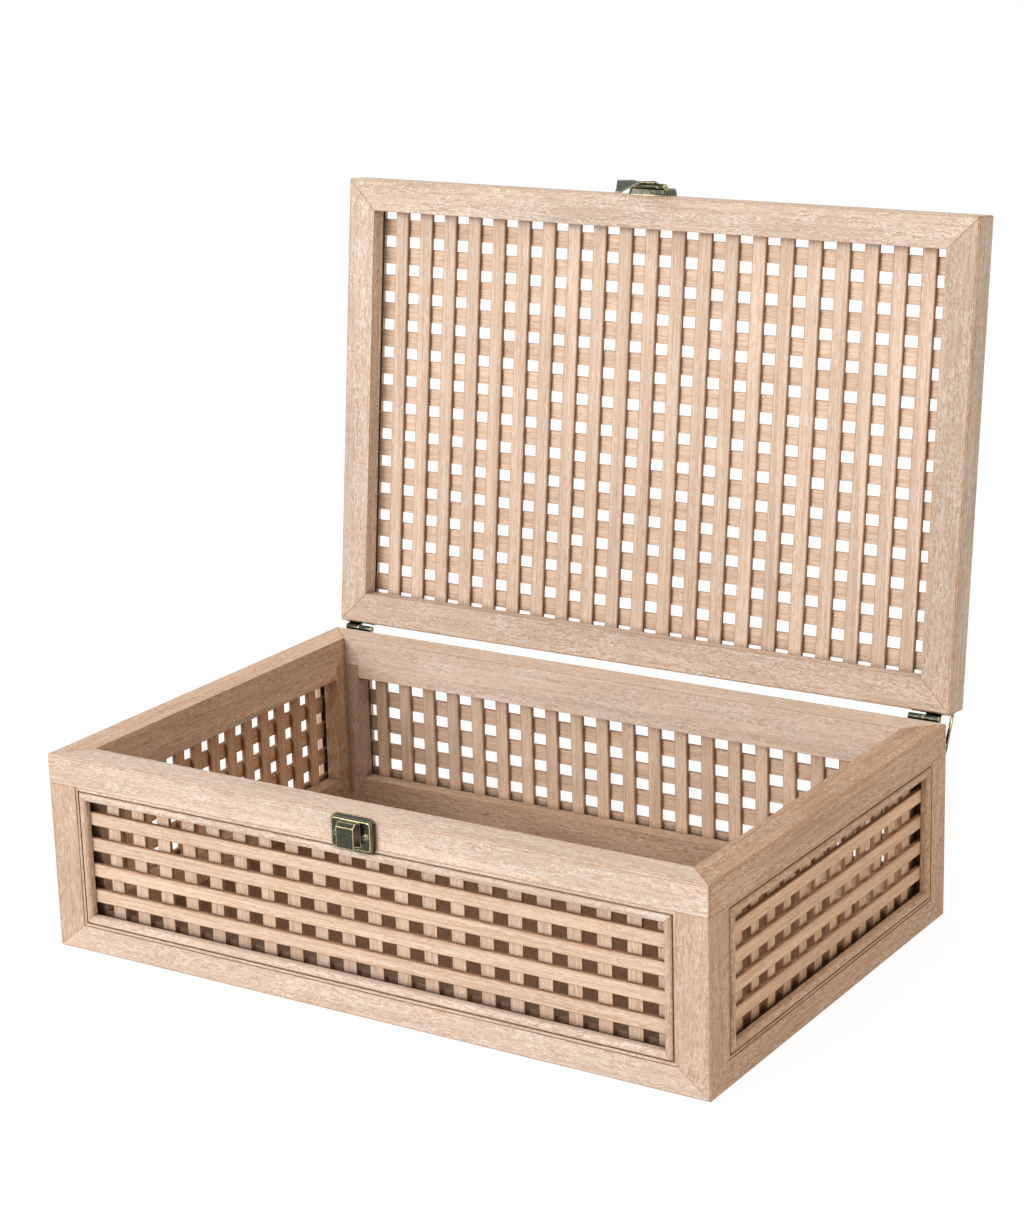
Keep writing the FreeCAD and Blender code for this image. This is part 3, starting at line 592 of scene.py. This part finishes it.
def dressLid(paleArris):
    # the open lid leans back, and its grain with it
    lidNormal = tuple(Matrix.Rotation(-lidAngle, 3, "X") @ Vector((0, 0, 1)))
    lidBoards = {grain: makeWood("planedLimedAshLid_" + grain, lidAsh, grain, lidAngle) for grain in "xy"}
    lidSide = makeWood("planedTanAshLid_y", lidSideAsh, "y", lidAngle)
    outer = makeWood("sawnOuterAshLathLid_x", outerLath, "x", lidAngle, lidNormal)
    inner = makeWood("sawnAshLathLid_y", paleLath, "y", lidAngle, lidNormal)
    for side, grain in wallGrain.items():
        dress("lid_" + side + "_rail", lidBoards[grain], paleArris)
    dress("lid_right_rail", lidSide, paleArris)
    dress("lid_bead_level", lidBoards["x"], paleArris)
    dress("lid_bead_upright", lidBoards["y"], paleArris)
    dress("lid_cross_laths", outer, paleArris)
    dress("lid_long_laths", inner, paleArris)


handWornEdge = makeArris("handWornAshEdge", limedAsh)
dressWalls(handWornEdge)
dressLid(handWornEdge)
print("wood dressed")


# stained fibreboard: brown, with the pressed leathery relief of its smooth side
stainedBoard = {
    "ground": "#7d5636",
    "dark": "#4d3320",
    "cell": 1.3,             # mm, size of the pressed relief
    "detail": 3.0,
    "swirl": 1.4,
    "litFrom": 0.35,         # where the relief turns from dark to light, of 1
    "litTo": 0.6,
    "roughness": 0.7,
    "relief": 0.12,          # mm
    "reliefStrength": 0.8,
}


def dressFloorBoard():
    material, tree = newMaterial("stainedFibreboard")
    colours = {key: toLinear(stainedBoard[key]) for key in ("ground", "dark")}
    coords = addNode(tree, "ShaderNodeTexCoord")
    cells = addNode(tree, "ShaderNodeTexNoise", None,
                    {"Vector": coords.outputs["Object"], "Scale": 1 / (stainedBoard["cell"] * mm),
                     "Detail": stainedBoard["detail"],
                     "Distortion": stainedBoard["swirl"]}).outputs["Fac"]
    lit = addNode(tree, "ShaderNodeMapRange", smooth,
                  {0: cells, 1: stainedBoard["litFrom"], 2: stainedBoard["litTo"]}).outputs[0]
    colour = addNode(tree, "ShaderNodeMix", blend,
                     {0: lit, 6: colours["dark"], 7: colours["ground"]}).outputs[2]
    bump = addNode(tree, "ShaderNodeBump", None,
                   {"Strength": stainedBoard["reliefStrength"], "Distance": stainedBoard["relief"] * mm,
                    "Height": cells})
    skin = addNode(tree, "ShaderNodeBsdfPrincipled", None,
                   {"Base Color": colour, "Roughness": stainedBoard["roughness"],
                    "Normal": bump.outputs[0]})
    addNode(tree, "ShaderNodeOutputMaterial", None, {"Surface": skin.outputs[0]})
    dress("floor_board", material)


dressFloorBoard()
print("floor board dressed")


# bronzed pressed steel: dark grey-green skin, rubbed through to bright brassy metal along the edges
bronzedSteel = {
    "skin": "#525348",
    "rubbed": "#e3d3a2",
    # dark soot in the blotches, and the painted shade in the corners
    "sootAndShade": "#2b2a24",
    "roughness": 0.24,
    "blotch": 1.1,           # mm
    "detail": 4.0,
    "grit": 0.6,
    "sootFrom": 0.56,        # soot in the blotches
    "sootTo": 0.38,
    "sootShare": 0.6,
    "edgeWidth": 0.9,        # mm
    "wornFrom": 0.3,
    "wornTo": 0.55,
    "wornLeast": 0.65,
    "cornerShadeReach": 2.5,       # mm, painted shade in the corners
    "cornerShadeFrom": 0.62,
    "cornerShadeTo": 0.30,
    "cornerShadeShare": 0.85,
    "glossFrom": 0.3,
    "glossTo": 0.7,
    "duller": 0.1,
    "glossier": 0.06,
    "relief": 0.02,          # mm
    "reliefStrength": 0.3,
}
# the same metal along its eased edges
rubbedEdge = dict(bronzedSteel, skin="#e0cf9c", sootAndShade="#a8935c", roughness=0.3)


def makeBronze(name, look):
    material, tree = newMaterial(name)
    colours = {key: toLinear(look[key]) for key in ("skin", "rubbed", "sootAndShade")}
    coords = addNode(tree, "ShaderNodeTexCoord")
    blotch = addNode(tree, "ShaderNodeTexNoise", None,
                     {"Vector": coords.outputs["Object"], "Scale": 1 / (look["blotch"] * mm),
                      "Detail": look["detail"], "Roughness": look["grit"]}).outputs["Fac"]
    sooty = addNode(tree, "ShaderNodeMapRange", smooth,
                    {0: blotch, 1: look["sootFrom"], 2: look["sootTo"],
                     3: 0.0, 4: look["sootShare"]}).outputs[0]
    skin = addNode(tree, "ShaderNodeMix", blend,
                   {0: sooty, 6: colours["skin"], 7: colours["sootAndShade"]}).outputs[2]
    patchy = addNode(tree, "ShaderNodeMapRange", smooth,
                     {0: blotch, 1: look["wornFrom"], 2: look["wornTo"],
                      3: look["wornLeast"], 4: 1.0}).outputs[0]
    worn = addNode(tree, "ShaderNodeMath", times,
                   {0: edgeShare(tree, look["edgeWidth"]), 1: patchy}).outputs[0]
    colour = addNode(tree, "ShaderNodeMix", blend, {0: worn, 6: skin, 7: colours["rubbed"]}).outputs[2]
    # painted shade in the corners, where the metal is hemmed in
    cornerShade = nookShare(tree, look["cornerShadeReach"], look["cornerShadeFrom"], look["cornerShadeTo"], look["cornerShadeShare"])
    colour = addNode(tree, "ShaderNodeMix", blend, {0: cornerShade, 6: colour, 7: colours["sootAndShade"]}).outputs[2]
    gloss = addNode(tree, "ShaderNodeMapRange", smooth,
                    {0: blotch, 1: look["glossFrom"], 2: look["glossTo"],
                     3: look["roughness"] + look["duller"],
                     4: look["roughness"] - look["glossier"]}).outputs[0]
    bump = addNode(tree, "ShaderNodeBump", None,
                   {"Strength": look["reliefStrength"], "Distance": look["relief"] * mm,
                    "Height": blotch}).outputs[0]
    metal = addNode(tree, "ShaderNodeBsdfPrincipled", None,
                    {"Base Color": colour, "Metallic": 1.0, "Roughness": gloss, "Normal": bump})
    addNode(tree, "ShaderNodeOutputMaterial", None, {"Surface": metal.outputs[0]})
    return material


fittings = ("hinge", "keeper", "hasp")       # the first words of the fittings' names


def dressMetal():
    bronze = makeBronze("bronzedPressedSteel", bronzedSteel)
    brassy = makeBronze("rubbedSteelEdge", rubbedEdge)
    for name in nodes:
        if name.startswith(fittings):
            dress(name, bronze, brassy)


dressMetal()
print("fittings dressed")


# every cut edge of the wood and metal is eased a little, which also opens the fine line at each joint
edges = {
    "wood": 0.22,            # mm, as the next two
    "lath": 0.15,            # laths and beads
    "metal": 0.2,
    "weld": 0.002,           # mm, joins the corners that faces share
    "segments": 2,
    "sharpFrom": 35,         # degrees
}


def easeWidth(name):
    if name.startswith(fittings):
        return edges["metal"]
    if "lath" in name or "bead" in name:
        return edges["lath"]
    return edges["wood"]


def easeEdges():
    for name, item in nodes.items():
        weld = item.modifiers.new("joinFaces", "WELD")
        weld.merge_threshold = edges["weld"] * mm
        bevel = item.modifiers.new("easedEdge", "BEVEL")
        bevel.width = easeWidth(name) * mm
        bevel.segments = edges["segments"]
        bevel.limit_method = "ANGLE"
        bevel.angle_limit = math.radians(edges["sharpFrom"])
        bevel.use_clamp_overlap = True
        bevel.material = len(item.data.materials) - 1


easeEdges()
print("edges eased")
